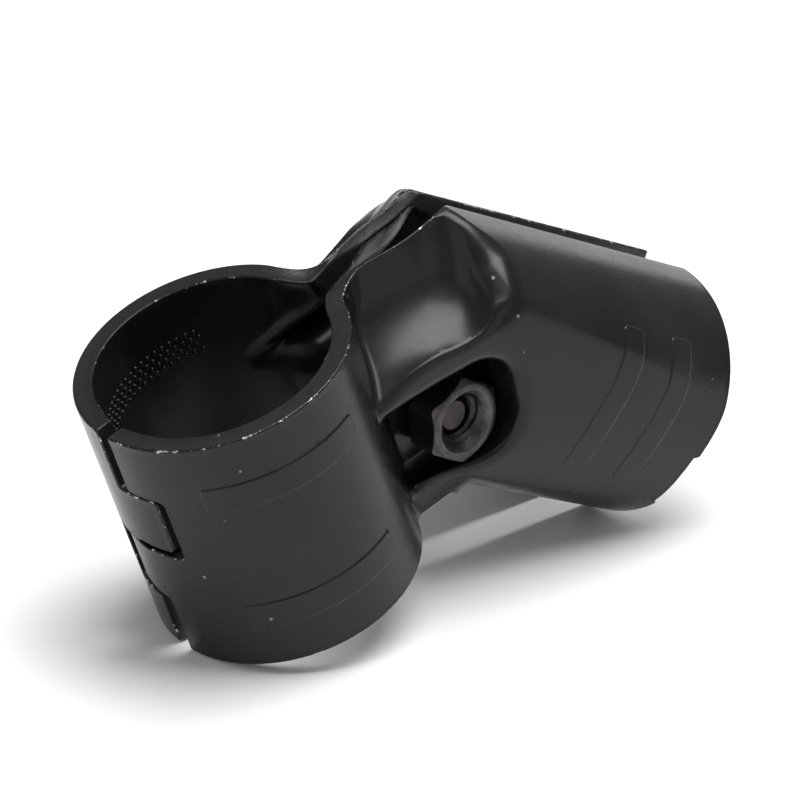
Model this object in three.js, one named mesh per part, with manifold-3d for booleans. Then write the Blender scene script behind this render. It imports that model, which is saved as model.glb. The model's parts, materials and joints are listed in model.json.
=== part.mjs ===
// 45 degree pipe joint for a 28 mm tube: two pressed steel half shells that hook
// together on the far side of a ring collar and are drawn together by one M6 bolt
// and a hexagon nut that sits in a pressed pocket.
//
// The shape is built in the joint's own frame: +Z is the collar's axis with the
// collar's upper end at Z = 0, +X points from the collar to the arm, and the halves
// part along the plane Y = 0. The finished group is then tilted so that the joint
// lies on a floor on the collar's lower rim and the arm's lower rim, +Z up.

import * as THREE from 'three';
import { mergeVertices } from 'three/addons/utils/BufferGeometryUtils.js';
import Module from 'manifold-3d';

const wasm = await Module();
wasm.setup();

// ---- driving dimensions, mm ------------------------------------------------

const TUBE_RADIUS = 14;            // the 28 mm tube that the joint clamps
const SHEET = 2.5;                 // sheet thickness of both pressings
const OUTER_RADIUS = TUBE_RADIUS + SHEET;
const COLLAR_HEIGHT = 34;
const ARM_ANGLE = Math.PI / 4;     // between the arm and the collar's lower end direction
const PEAK_X = 34.4;               // where the arm's upper seam meets the collar's end plane
const ARM_LENGTH = 61;             // from the collar's end plane along the arm's axis

const SEAM_RECESS = 0.5;           // each half's edge from the parting plane, neck and arm
const HOOK_RECESS = 1.0;           // the same on the hooked side of the collar
const TAB_REACH = 5.0;             // how far a hook tab crosses the parting plane
const NOTCH_DEPTH = 6.4;           // how far a notch is cut behind the parting plane
const TAB_TOP = -8.4;              // upper edge of the upper notch
const TAB_MIDDLE = -17.4;          // between the two notches
const TAB_BOTTOM = -26.2;          // lower edge of the lower notch
const TAB_CLEARANCE = 0.45;        // around each tab

const FLANK_HALF = 11.6;           // half width of the neck beside the pocket
const FLANK_END_X = 27;            // where the neck starts to widen into the arm
const FLANK_FULL_X = 36.5;         // where the arm has its full width
const NECK_BOTTOM_HALF = 6;        // half width of the neck at the collar's lower end
const NECK_FOOT_Z = -27.5;         // where the neck's lower taper starts

const ROOF_EDGE_HALF = 1.7;        // half width of the neck's roof at its top edge
const ROOF_VALLEY = { y: 7.2, z: -9.5 };
const ROOF_CREST = { y: 11.6, z: -10.3 };
const ROOF_OUT = { y: 24, z: -12.5 };

const BOLT_X = 22.7;
const BOLT_Z = -21.9;
const POCKET_FLOOR = 4.8;          // outer face of the pocket's floor from the parting plane
const POCKET_BOTTOM = -28.3;
const POCKET_TOP = -13.5;
const POCKET_RIGHT = 29.9;
const POCKET_CORNER = 4.8;         // radius of the pocket's upper corner

const BOLT_RADIUS = 3;             // M6
const BOLT_LENGTH = 16;
const HEAD_RADIUS = 5;
const HEAD_HEIGHT = 6;
const HEAD_CHAMFER = 0.5;
const SOCKET_FLATS = 5;
const SOCKET_DEPTH = 3;
const NUT_FLATS = 10;
const NUT_HEIGHT = 5;
const NUT_BORE = 3.07;
const NUT_TURN = 12;               // degrees, how the nut happens to sit
const SEAT_GAP = 0.3;              // head to pocket floor
const NUT_GAP = 0.75;              // nut to pocket floor on the bolt's axis, joint slack
const HOLE_RADIUS = 3.5;
const HOLE_SLOT = 1.0;             // the nut side's hole is a slot, this much longer

const SLACK_ANGLE = THREE.MathUtils.degToRad(3.9);   // nut side swung open at rest

const ROUND = 56;                  // facets around the collar and the arm
const SMALL_ROUND = 32;            // facets around the bolt

// ---- small helpers ---------------------------------------------------------

const armDirection = new THREE.Vector3(Math.sin(ARM_ANGLE), 0, -Math.cos(ARM_ANGLE));
const armStartX = PEAK_X - OUTER_RADIUS / Math.sin(ARM_ANGLE);
const armStart = new THREE.Vector3(armStartX, 0, 0);
const hookX = -OUTER_RADIUS;

function solidOf(geometry) {
  const bare = geometry.clone();
  bare.deleteAttribute('normal');
  bare.deleteAttribute('uv');
  const merged = mergeVertices(bare, 1e-4);
  const mesh = new wasm.Mesh({
    numProp: 3,
    vertProperties: new Float32Array(merged.attributes.position.array),
    triVerts: new Uint32Array(merged.index.array),
  });
  return new wasm.Manifold(mesh);
}

function uprightCylinder(radius, zLow, zHigh, facets) {
  const geometry = new THREE.CylinderGeometry(radius, radius, zHigh - zLow, facets);
  geometry.rotateX(Math.PI / 2);
  geometry.translate(0, 0, (zLow + zHigh) / 2);
  return solidOf(geometry);
}

function armCylinder(radius, from, to) {
  const geometry = new THREE.CylinderGeometry(radius, radius, to - from, ROUND);
  geometry.translate(0, (from + to) / 2, 0);
  const turn = new THREE.Quaternion().setFromUnitVectors(new THREE.Vector3(0, 1, 0), armDirection);
  geometry.applyQuaternion(turn);
  geometry.translate(armStart.x, armStart.y, armStart.z);
  return solidOf(geometry);
}

function box(xLow, xHigh, yLow, yHigh, zLow, zHigh) {
  const geometry = new THREE.BoxGeometry(xHigh - xLow, yHigh - yLow, zHigh - zLow);
  geometry.translate((xLow + xHigh) / 2, (yLow + yHigh) / 2, (zLow + zHigh) / 2);
  return solidOf(geometry);
}

function shapeOf(points) {
  const shape = new THREE.Shape();
  points.forEach((point, index) => {
    if (index === 0) shape.moveTo(point[0], point[1]);
    else shape.lineTo(point[0], point[1]);
  });
  shape.closePath();
  return shape;
}

function extrude(shape, depth, curveSegments = 10) {
  return new THREE.ExtrudeGeometry(shape, { depth, bevelEnabled: false, curveSegments });
}

// Outline drawn in Y, Z and swept along X.
function sweptAlongX(shape, xLow, xHigh) {
  const geometry = extrude(shape, xHigh - xLow);
  const toX = new THREE.Matrix4().makeBasis(
    new THREE.Vector3(0, 1, 0),
    new THREE.Vector3(0, 0, 1),
    new THREE.Vector3(1, 0, 0),
  );
  geometry.applyMatrix4(toX);
  geometry.translate(xLow, 0, 0);
  return solidOf(geometry);
}

// Outline drawn in X, Z and swept along Y.
function sweptAlongY(shape, yLow, yHigh) {
  const geometry = extrude(shape, yHigh - yLow);
  geometry.rotateX(Math.PI / 2);
  geometry.translate(0, yHigh, 0);
  return solidOf(geometry);
}

// Outline drawn in X, Y and swept along Z.
function sweptAlongZ(shape, zLow, zHigh) {
  const geometry = extrude(shape, zHigh - zLow);
  geometry.translate(0, 0, zLow);
  return solidOf(geometry);
}

// Moves an open line of points sideways by a distance, with mitred corners. A
// positive distance moves it to the left of its direction.
function offsetLine(points, distance) {
  const normals = [];
  for (let i = 0; i + 1 < points.length; i += 1) {
    const dx = points[i + 1][0] - points[i][0];
    const dy = points[i + 1][1] - points[i][1];
    const length = Math.hypot(dx, dy);
    normals.push([-dy / length, dx / length]);
  }
  return points.map((point, i) => {
    const a = normals[Math.max(i - 1, 0)];
    const b = normals[Math.min(i, normals.length - 1)];
    const scale = distance / (1 + a[0] * b[0] + a[1] * b[1]);
    return [point[0] + (a[0] + b[0]) * scale, point[1] + (a[1] + b[1]) * scale];
  });
}

function mirrored(solid) {
  return solid.mirror([0, 1, 0]);
}

function bothSides(solid) {
  return solid.add(mirrored(solid));
}

// ---- the pressed form ------------------------------------------------------
// Each tool takes "grow": 0 for the outside skin and the sheet's thickness for the
// inside skin, so that the wall keeps one thickness around every pressed feature.

// The hollow above the shoulder, which leaves the neck's roof.
function roofTool(grow) {
  const slope = (ROOF_VALLEY.y - ROOF_EDGE_HALF) / -ROOF_VALLEY.z;
  const line = offsetLine(
    [
      [ROOF_EDGE_HALF - 6 * slope, 6],
      [ROOF_VALLEY.y, ROOF_VALLEY.z],
      [ROOF_CREST.y, ROOF_CREST.z],
      [ROOF_OUT.y, ROOF_OUT.z],
    ],
    -grow,
  );
  const section = shapeOf([...line, [ROOF_OUT.y + 16, ROOF_OUT.z - grow], [ROOF_OUT.y + 16, 6]]);
  const wall = offsetLine([[PEAK_X + 0.2, -8], [PEAK_X + 0.2, 1.5], [35.5, 6], [40.5, 16], [46, 27]], -grow);
  const plan = shapeOf([[-40, -8], ...wall, [-40, 27]]);
  const tool = sweptAlongX(section, -40, 60).intersect(sweptAlongZ(plan, -40, 20));
  return bothSides(tool);
}

// The two flats that narrow the arm down to the neck.
function flankTool(grow) {
  const line = offsetLine(
    [[-40, FLANK_HALF], [FLANK_END_X, FLANK_HALF], [FLANK_FULL_X, OUTER_RADIUS], [60, OUTER_RADIUS + 8]],
    -grow,
  );
  const plan = shapeOf([...line, [60, 60], [-40, 60]]);
  return bothSides(sweptAlongZ(plan, -80, 20));
}

// The pocket that holds the nut on one side and the bolt's head on the other.
function pocketTool(grow) {
  const reach = BOLT_Z - POCKET_BOTTOM + grow;
  const right = POCKET_RIGHT + grow;
  const corner = POCKET_CORNER + grow;
  const shape = new THREE.Shape();
  shape.moveTo(-40, POCKET_BOTTOM - grow);
  shape.lineTo(right - reach, POCKET_BOTTOM - grow);
  shape.absarc(right - reach, BOLT_Z, reach, -Math.PI / 2, 0, false);
  shape.lineTo(right, POCKET_TOP + grow - corner);
  shape.absarc(right - corner, POCKET_TOP + grow - corner, corner, 0, Math.PI / 2, false);
  shape.lineTo(-40, POCKET_TOP + grow);
  shape.closePath();
  return bothSides(sweptAlongY(shape, POCKET_FLOOR - grow, 40));
}

// The neck's foot, between the collar's lower end and the arm's lower wall.
function neckFoot(grow) {
  const half = NECK_BOTTOM_HALF - grow;
  const high = FLANK_HALF - 2 - grow;
  const low = -COLLAR_HEIGHT - (grow > 0 ? 6 : 0);
  const top = -16;
  const section = shapeOf([
    [-half, low],
    [half, low],
    [half, -COLLAR_HEIGHT],
    [high, NECK_FOOT_Z],
    [high, top],
    [-high, top],
    [-high, NECK_FOOT_Z],
    [-half, -COLLAR_HEIGHT],
  ]);
  if (grow === 0) return sweptAlongX(section, 8, 23.4);
  const lowX = PEAK_X + COLLAR_HEIGHT - 2 * OUTER_RADIUS / Math.sin(ARM_ANGLE);
  const side = shapeOf([[4, low], [lowX, low], [lowX, -COLLAR_HEIGHT], [lowX + 5, 5 - COLLAR_HEIGHT], [lowX + 5, top], [4, top]]);
  return sweptAlongX(section, 4, 40).intersect(sweptAlongY(side, -20, 20));
}

function armForm(grow) {
  const radius = OUTER_RADIUS - grow;
  const end = ARM_LENGTH + (grow > 0 ? 5 : 0);
  const top = grow > 0 ? 10 : 0;
  const tube = armCylinder(radius, -10, end).intersect(box(2, 90, -40, 40, -90, top));
  return tube.subtract(flankTool(grow)).add(neckFoot(grow)).subtract(roofTool(grow)).subtract(pocketTool(grow));
}

function outerForm() {
  const collar = uprightCylinder(OUTER_RADIUS, -COLLAR_HEIGHT, 0, ROUND);
  return collar.add(armForm(0));
}

function innerForm() {
  const bore = uprightCylinder(TUBE_RADIUS, -COLLAR_HEIGHT - 5, 5, ROUND);
  return bore.add(armForm(SHEET));
}

// ---- splitting the form into two hooked halves -----------------------------

// The region that belongs to one half. "side" is -1 for the nut's half and +1 for the
// head's half. The head's tab crosses in the upper notch and the nut's in the lower.
function halfRegion(side) {
  const seam = box(0, 90, SEAM_RECESS, 60, -90, 30);
  const hook = box(-40, 0, HOOK_RECESS, 60, -90, 30);
  const upper = [TAB_MIDDLE, TAB_TOP];
  const lower = [TAB_BOTTOM, TAB_MIDDLE];
  const own = side > 0 ? upper : lower;
  const other = side > 0 ? lower : upper;
  const gap = TAB_CLEARANCE;
  const tab = box(-40, 0, -TAB_REACH, 5, own[0] + gap, own[1] - gap);
  const notch = box(-40, 0, -5, NOTCH_DEPTH, other[0], other[1]);
  const region = seam.add(hook).subtract(notch).add(tab);
  return side > 0 ? region : mirrored(region);
}

function boltHole(side) {
  const reach = side < 0 ? HOLE_SLOT : 0;
  const shape = new THREE.Shape();
  shape.absarc(BOLT_X + reach, BOLT_Z, HOLE_RADIUS, -Math.PI / 2, Math.PI / 2, false);
  shape.absarc(BOLT_X, BOLT_Z, HOLE_RADIUS, Math.PI / 2, 1.5 * Math.PI, false);
  return side < 0 ? sweptAlongY(shape, -20, 0) : sweptAlongY(shape, 0, 20);
}

const shellForm = outerForm().subtract(innerForm());

function halfShell(side) {
  return shellForm.intersect(halfRegion(side)).subtract(boltHole(side));
}

// ---- bolt and nut ----------------------------------------------------------

function hexagon(flats, turn) {
  const shape = new THREE.Shape();
  const radius = flats / 2 / Math.cos(Math.PI / 6);
  for (let i = 0; i < 6; i += 1) {
    const angle = turn + (i * Math.PI) / 3;
    const x = radius * Math.cos(angle);
    const y = radius * Math.sin(angle);
    if (i === 0) shape.moveTo(x, y);
    else shape.lineTo(x, y);
  }
  shape.closePath();
  return shape;
}

function atBolt(solid) {
  return solid.translate([BOLT_X, 0, BOLT_Z]);
}

// Turned profile about the bolt's axis, points given as [radius, Y].
function turned(points, facets) {
  const profile = points.map((point) => new THREE.Vector2(point[0], point[1]));
  return solidOf(new THREE.LatheGeometry(profile, facets));
}

function clampBolt() {
  const seat = POCKET_FLOOR + SEAT_GAP;
  const top = seat + HEAD_HEIGHT;
  const end = seat - BOLT_LENGTH;
  const body = turned(
    [
      [0, end],
      [BOLT_RADIUS - 0.7, end],
      [BOLT_RADIUS, end + 0.7],
      [BOLT_RADIUS, seat],
      [HEAD_RADIUS, seat],
      [HEAD_RADIUS, top - HEAD_CHAMFER],
      [HEAD_RADIUS - HEAD_CHAMFER, top],
      [0, top],
    ],
    SMALL_ROUND,
  );
  const socket = sweptAlongY(hexagon(SOCKET_FLATS, 0), top - SOCKET_DEPTH, top + 1);
  return atBolt(body.subtract(socket));
}

function hexNut() {
  const openAtBolt = (BOLT_X - hookX) * Math.sin(SLACK_ANGLE);
  const inner = -(POCKET_FLOOR + openAtBolt + NUT_GAP);
  const outer = inner - NUT_HEIGHT;
  const corner = NUT_FLATS / 2 / Math.cos(Math.PI / 6);
  const flat = NUT_FLATS / 2;
  const prism = sweptAlongY(hexagon(NUT_FLATS, THREE.MathUtils.degToRad(NUT_TURN)), outer, inner);
  const envelope = turned(
    [
      [0, outer],
      [flat - 0.25, outer],
      [corner + 0.1, outer + 0.55],
      [corner + 0.1, inner - 0.55],
      [flat - 0.25, inner],
      [0, inner],
    ],
    SMALL_ROUND,
  );
  const bore = turned(
    [
      [0, outer - 1],
      [NUT_BORE + 1.9, outer - 1],
      [NUT_BORE, outer + 0.9],
      [NUT_BORE, inner - 0.4],
      [NUT_BORE + 1.4, inner + 1],
      [0, inner + 1],
    ],
    SMALL_ROUND,
  );
  return atBolt(prism.intersect(envelope).subtract(bore));
}

// ---- assembly --------------------------------------------------------------

// Turns the nut side about the line where the two halves hook together.
function swungOpen(solid) {
  const degrees = -THREE.MathUtils.radToDeg(SLACK_ANGLE);
  return solid.translate([-hookX, 0, 0]).rotate([0, 0, degrees]).translate([hookX, 0, 0]);
}

function meshOf(name, solid, material) {
  const data = solid.getMesh();
  const geometry = new THREE.BufferGeometry();
  geometry.setAttribute('position', new THREE.BufferAttribute(new Float32Array(data.vertProperties), 3));
  geometry.setIndex(new THREE.BufferAttribute(new Uint32Array(data.triVerts), 1));
  geometry.computeVertexNormals();
  const mesh = new THREE.Mesh(geometry, material);
  mesh.name = name;
  return mesh;
}

const blackCoat = new THREE.MeshStandardMaterial({ color: 0x0b0b0c, roughness: 0.32, metalness: 0.15 });
const blackOxide = new THREE.MeshStandardMaterial({ color: 0x17171a, roughness: 0.4, metalness: 0.7 });
const dullZinc = new THREE.MeshStandardMaterial({ color: 0x55575a, roughness: 0.42, metalness: 0.9 });

const joint = new THREE.Group();
joint.add(meshOf('head_side_shell', halfShell(1), blackCoat));
joint.add(meshOf('nut_side_shell', swungOpen(halfShell(-1)), blackCoat));
joint.add(meshOf('clamp_bolt', clampBolt(), blackOxide));
joint.add(meshOf('hex_nut', hexNut(), dullZinc));

// The joint lies on the collar's lower rim and on the arm's lower rim.
const armEnd = armStart.clone().addScaledVector(armDirection, ARM_LENGTH);
const armRimX = armEnd.x - OUTER_RADIUS * Math.cos(ARM_ANGLE);
const armRimZ = armEnd.z - OUTER_RADIUS * Math.sin(ARM_ANGLE);
const tilt = Math.atan2(-COLLAR_HEIGHT - armRimZ, armRimX + OUTER_RADIUS);
joint.rotation.y = -tilt;
joint.updateMatrixWorld(true);

const bounds = new THREE.Box3().setFromObject(joint, true);
const centre = bounds.getCenter(new THREE.Vector3());
joint.position.set(-centre.x, -centre.y, -bounds.min.z);

const part = new THREE.Group();
part.add(joint);
part.updateMatrixWorld(true);

export default part;
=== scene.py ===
import json
import math

import bpy
import numpy as np
from bpy.props import FloatProperty, FloatVectorProperty, IntProperty, PointerProperty
from mathutils import Matrix, Vector

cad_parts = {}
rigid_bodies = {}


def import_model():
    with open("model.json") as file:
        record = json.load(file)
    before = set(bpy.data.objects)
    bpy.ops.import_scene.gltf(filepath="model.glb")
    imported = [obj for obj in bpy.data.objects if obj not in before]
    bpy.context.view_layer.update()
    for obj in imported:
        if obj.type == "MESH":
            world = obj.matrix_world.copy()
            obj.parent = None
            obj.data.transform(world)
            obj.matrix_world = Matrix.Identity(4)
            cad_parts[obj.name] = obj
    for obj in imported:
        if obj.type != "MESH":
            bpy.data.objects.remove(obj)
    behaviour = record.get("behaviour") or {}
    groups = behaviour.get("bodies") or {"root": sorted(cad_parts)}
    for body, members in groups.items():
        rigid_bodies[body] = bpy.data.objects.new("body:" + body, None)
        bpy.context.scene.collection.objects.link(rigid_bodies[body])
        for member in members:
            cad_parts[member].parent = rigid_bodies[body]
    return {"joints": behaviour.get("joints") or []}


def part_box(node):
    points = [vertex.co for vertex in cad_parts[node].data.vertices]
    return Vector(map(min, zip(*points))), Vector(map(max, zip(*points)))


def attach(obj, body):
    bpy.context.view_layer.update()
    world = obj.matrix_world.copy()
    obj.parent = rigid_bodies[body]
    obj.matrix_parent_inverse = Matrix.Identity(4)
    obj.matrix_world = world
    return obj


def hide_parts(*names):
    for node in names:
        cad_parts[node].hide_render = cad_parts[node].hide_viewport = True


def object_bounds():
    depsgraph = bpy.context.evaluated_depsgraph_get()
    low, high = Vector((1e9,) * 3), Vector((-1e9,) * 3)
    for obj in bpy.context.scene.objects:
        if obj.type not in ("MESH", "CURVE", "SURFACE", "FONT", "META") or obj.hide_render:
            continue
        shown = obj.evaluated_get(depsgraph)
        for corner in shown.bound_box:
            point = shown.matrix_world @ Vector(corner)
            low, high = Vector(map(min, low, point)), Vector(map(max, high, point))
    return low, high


bl_info = {
    "name": "Pressed 45 degree pipe joint",
    "version": (1, 0, 0),
    "blender": (4, 5, 0),
    "location": "3D View > Sidebar > Pipe joint",
    "description": "Makes the two pressed half shells, the clamp bolt and its nut",
    "category": "Object",
}

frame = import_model()
cad_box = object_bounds()

MM = 0.001


# ---- the joint's own frame ---------------------------------------------------
# Origin on the collar's axis at its upper end, Z along the collar's axis, X from the
# collar to the arm, Y across the plane where the halves part. All shapes are made here
# in millimetres and then moved to where the frame's joints say.

def find_joint(name):
    for joint in frame["joints"]:
        if joint["name"] == name:
            return joint
    raise ValueError("the frame has no joint named " + name)


def joint_frame(sizes):
    swing = find_joint("shell_swing")
    bolt = find_joint("bolt_turn")
    z = -np.array(swing["axis"], float)
    z /= np.linalg.norm(z)
    y = np.array(bolt["axis"], float)
    y -= z * (y @ z)
    y /= np.linalg.norm(y)
    x = np.cross(y, z)
    hook = np.array(swing["pos_m"], float)
    outer = sizes.tube_radius + sizes.sheet
    origin = hook + x * outer * MM + z * (sizes.collar_height / 2) * MM
    return np.column_stack([x, y, z]), origin


def to_world(points, sizes):
    axes, origin = joint_frame(sizes)
    return points @ (axes.T * MM) + origin


def swing_open(points, sizes, turn):
    """Turns points about the line where the two halves hook together."""
    angle = -math.radians(sizes.slack_angle) * turn
    outer = sizes.tube_radius + sizes.sheet
    c, s = math.cos(angle), math.sin(angle)
    x = points[:, 0] + outer
    y = points[:, 1]
    return np.column_stack([c * x - s * y - outer, s * x + c * y, points[:, 2]])


# ---- sizes and colours -------------------------------------------------------

def millimetres(name, text, value):
    return FloatProperty(name=name, description=text + ", in mm", default=value, precision=2)


class JointSizes(bpy.types.PropertyGroup):
    tube_radius: millimetres("Tube radius", "Radius of the tube that is clamped", 14.0)
    sheet: millimetres("Sheet", "Thickness of the pressed sheet", 2.5)
    collar_height: millimetres("Collar height", "Height of the collar", 34.0)
    peak_x: millimetres("Peak", "Where the arm's seam meets the collar's end plane", 34.4)
    arm_length: millimetres("Arm length", "Length of the arm along its axis", 61.0)
    seam_recess: millimetres("Seam recess", "Edge to parting plane on neck and arm", 0.5)
    hook_recess: millimetres("Hook recess", "Edge to parting plane at the hooks", 1.0)
    tab_reach: millimetres("Tab reach", "How far a hook tab crosses the parting plane", 5.0)
    notch_depth: millimetres("Notch depth", "How far a notch is cut back", 6.4)
    flank: millimetres("Neck half width", "Half width of the neck beside the pocket", 11.6)
    pocket_floor: millimetres("Pocket floor", "Pocket floor to the parting plane", 4.8)
    pocket_right: millimetres("Pocket side", "The pocket's wall towards the arm", 30.0)
    edge_round: millimetres("Edge rounding", "Radius on the sheared edges", 0.3)
    pocket_top: millimetres("Pocket top", "The pocket's upper wall", -13.5)
    pocket_bottom: millimetres("Pocket bottom", "The pocket's lower wall", -28.3)
    foot_width: millimetres("Foot width", "Half width of the foot under the neck", 9.6)
    foot_reach: millimetres("Foot reach", "Where the foot ends under the neck", 23.4)
    shelf_middle: millimetres("Shelf middle", "Where the shelf over the pocket is highest", 21.8)
    shelf_height: millimetres("Shelf height", "The shelf below the collar's end plane", -9.35)
    roof_edge: millimetres("Roof edge", "Half gap between the roofs at the collar", 0.75)
    roof_gape: millimetres("Roof gape", "How much that gap widens near the arm", 1.1)
    neck_thinning: millimetres("Neck thinning", "How much thinner the roof's edge is", 0.6)
    pad_height: millimetres("Pad height", "How far the grip pads stand out", 0.16)
    slack_angle: FloatProperty(
        name="Slack angle",
        description="How far the nut side hangs open at rest, in degrees",
        default=3.9,
    )
    grid_step: millimetres("Grid step", "Cell of the grid that finds the pressed skin", 0.56)
    chord_error: millimetres("Chord error", "How far a facet may leave the skin", 0.007)


class BoltSizes(bpy.types.PropertyGroup):
    x: millimetres("Bolt X", "Bolt axis along the joint", 22.7)
    z: millimetres("Bolt Z", "Bolt axis below the collar's end plane", -21.9)
    hole_radius: millimetres("Hole radius", "Clearance hole in the pocket floors", 3.5)
    slot_length: millimetres("Slot length", "Extra length of the nut side's hole", 1.0)
    thread_radius: millimetres("Thread radius", "Outside radius of the thread", 2.93)
    thread_root: millimetres("Thread root", "Radius at the bottom of the thread", 2.42)
    pitch: millimetres("Pitch", "Pitch of the thread", 1.0)
    seat: millimetres("Seat", "Underside of the head from the parting plane", 5.1)
    length: millimetres("Length", "Length under the head", 16.0)
    head_radius: millimetres("Head radius", "Radius of the socket head", 5.0)
    head_height: millimetres("Head height", "Height of the socket head", 6.0)
    socket_flats: millimetres("Socket", "Across the flats of the socket", 5.0)
    socket_depth: millimetres("Socket depth", "Depth of the socket", 3.0)
    nut_flats: millimetres("Nut flats", "Across the flats of the nut", 10.0)
    nut_height: millimetres("Nut height", "Height of the nut", 5.0)
    nut_turn: FloatProperty(
        name="Nut turn", description="How the nut sits in its pocket, in degrees", default=12.0
    )
    knurls: IntProperty(name="Knurls", description="Grooves around the head", default=48)


class FinishColours(bpy.types.PropertyGroup):
    coat: FloatVectorProperty(
        name="Coat", description="Black electrocoat", subtype="COLOR",
        default=(0.0045, 0.0045, 0.0049),
    )
    # bare steel: worn-off finish, and on the shells also the colour of painted glints along the
    # sheared corners
    bare_steel_and_glint: FloatVectorProperty(
        name="Bare steel", description="Steel where the coat is worn off", subtype="COLOR",
        default=(0.62, 0.61, 0.59),
    )
    oxide: FloatVectorProperty(
        name="Black oxide", description="The bolt's finish", subtype="COLOR",
        default=(0.035, 0.034, 0.036),
    )
    zinc: FloatVectorProperty(
        name="Dull zinc", description="The nut's finish", subtype="COLOR",
        default=(0.05, 0.049, 0.047),
    )
    floor: FloatVectorProperty(
        name="Floor", description="Floor under the joint", subtype="COLOR",
        default=(0.9, 0.9, 0.9),
    )


# ---- distance fields of the pressing -----------------------------------------

def round_join(a, b, radius):
    """Union of two regions with a fillet of that radius in the inner corner."""
    corner = np.hypot(np.maximum(radius - a, 0), np.maximum(radius - b, 0))
    return np.maximum(radius, np.minimum(a, b)) - corner


def round_cut(a, b, radius):
    """Intersection of two regions with the outer corner rounded to that radius."""
    corner = np.hypot(np.maximum(radius + a, 0), np.maximum(radius + b, 0))
    return np.minimum(-radius, np.maximum(a, b)) + corner


def ease(low, high, value):
    t = np.clip((value - low) / (high - low), 0, 1)
    return t * t * (3 - 2 * t)


HALF_ROOT = math.sqrt(0.5)


def arm_start(sizes):
    return sizes.peak_x - (sizes.tube_radius + sizes.sheet) / HALF_ROOT


def along_arm(x, z, sizes):
    return (x - arm_start(sizes) - z) * HALF_ROOT


def across_arm(x, z, sizes):
    return (x - arm_start(sizes) + z) * HALF_ROOT


def neck_edge(x):
    """Half width of the gap between the two roofs, widest near the arm."""
    sizes = bpy.context.scene.joint_sizes
    return sizes.roof_edge + sizes.roof_gape * np.exp(-(((x - 27.5) / 6.0) ** 2))


def pressed_form(x, y, z, inset, sizes):
    """The form that the sheet is pressed over. An inset of 0 gives the outside skin and
    the sheet's thickness gives the inside skin, with one wall thickness throughout."""
    outer = sizes.tube_radius + sizes.sheet
    ring = np.hypot(x, y) - outer + inset
    q = across_arm(x, z, sizes)
    arm = np.hypot(q, y) - outer + inset

    # the flats beside the pocket, which widen into the arm from a slanting line
    flat = y - sizes.flank + inset
    beside = (x - 30.0) + 0.4 * (z + 11.9)
    slant = ((y - sizes.flank) * 0.889 - beside * 0.44) + inset
    flank = round_join(flat, slant, 8.0 + inset)
    body = round_cut(arm, flank, np.maximum(3.4 - inset, 0.7))

    # the foot under the neck, between the collar and the arm's lower wall
    foot_side = (y - 6.0) * 0.875 - (z + sizes.collar_height) * 0.4845 + inset
    foot_wall = y - sizes.foot_width + inset
    foot = round_cut(foot_side, foot_wall, np.maximum(3.0 - inset, 0.7))
    foot = round_cut(foot, x - sizes.foot_reach + inset, np.maximum(2.0 - inset, 0.7))
    foot = np.maximum(np.maximum(foot, z + 14.0), 6.0 - x)
    body = round_join(body, foot, 2.0 + inset)

    # the steep roof, the arched shelf over the pocket and the wall below the peak
    roof = (y - neck_edge(x) + 0.58 * z) * 0.865 + inset
    bow = x - sizes.shelf_middle
    shelf_height = sizes.shelf_height - 0.03 * bow * bow + 0.15 * (sizes.flank - y)
    shelf = (z - shelf_height) / np.sqrt(1.02 + (0.06 * bow) ** 2) + inset
    wall = 0.894 * (35.6 - x) - 0.25 * (y - 4.8) + 0.37 * (z + 1.7) + inset
    top = round_join(roof, wall, 7.0 + inset)
    top = round_join(top, shelf, 4.5 + inset)
    crest = 1.2 + 3.0 * ease(27.0, 33.5, x) * ease(4.0, 9.0, y)
    body = round_cut(body, top, np.maximum(crest - inset, 0.6))

    # the pocket for the nut or the head
    right = x - sizes.pocket_right
    upper = round_cut(right, z - sizes.pocket_top, 4.8)
    lower = round_cut(right, sizes.pocket_bottom - z, 6.4)
    pocket = (np.maximum(upper, lower) + 0.07 * (sizes.flank - y)) * 0.9975
    keep = round_join(-pocket + inset, y - sizes.pocket_floor + inset, 1.5 + inset)
    body = round_cut(body, keep, np.maximum(1.7 - inset, 0.6))
    # the neck leaves the collar in a tight crease that opens into a wide waist at the top
    waist = 1.0 + 3.2 * ease(-7.0, -0.5, z)
    return round_join(ring, body, waist + inset)


# middle and half height of each grip pad, and the angle of its middle in degrees
PAD_WINDOWS_RING = ((-7.85, 1.85), (-26.15, 1.85))
PAD_WINDOWS_ARM = ((42.6, 1.7), (51.4, 1.7))
PAD_MIDDLE_RING = 102.0
PAD_MIDDLE_ARM = 89.5
PAD_HALF_RING = 10.4
PAD_HALF_ARM = 10.5


def pad_outline(x, y, z, sizes):
    """Distance to the outline of the nearest grip pad, negative on the pads."""
    outer = sizes.tube_radius + sizes.sheet
    turn = (np.arctan2(y, x) - math.radians(PAD_MIDDLE_RING)) * outer
    nearest = np.full_like(x, 9.0)
    for middle, half in PAD_WINDOWS_RING:
        edge = round_cut(np.abs(turn) - PAD_HALF_RING, np.abs(z - middle) - half, 0.5)
        nearest = np.minimum(nearest, np.where(x < 12, edge, 9.0))
    s = along_arm(x, z, sizes)
    turn = (np.arctan2(y, across_arm(x, z, sizes)) - math.radians(PAD_MIDDLE_ARM)) * outer
    for middle, half in PAD_WINDOWS_ARM:
        edge = round_cut(np.abs(turn) - PAD_HALF_ARM, np.abs(s - middle) - half, 0.5)
        nearest = np.minimum(nearest, edge)
    return nearest


def pad_relief(x, y, z, sizes):
    """1 on the raised grip pads and 0 off them."""
    return ease(0.13, -0.13, pad_outline(x, y, z, sizes))


def near_pad_outline(points, sizes):
    """Where the mesh has to be fine enough to draw the pads' outlines."""
    x, y, z = points.T
    wide = sizes.tube_radius + sizes.sheet / 2
    on_skin = np.maximum(np.hypot(x, y) * (x < 12), np.hypot(across_arm(x, z, sizes), y)) > wide
    return on_skin & (np.abs(pad_outline(x, np.abs(y), z, sizes)) < 0.24)


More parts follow.
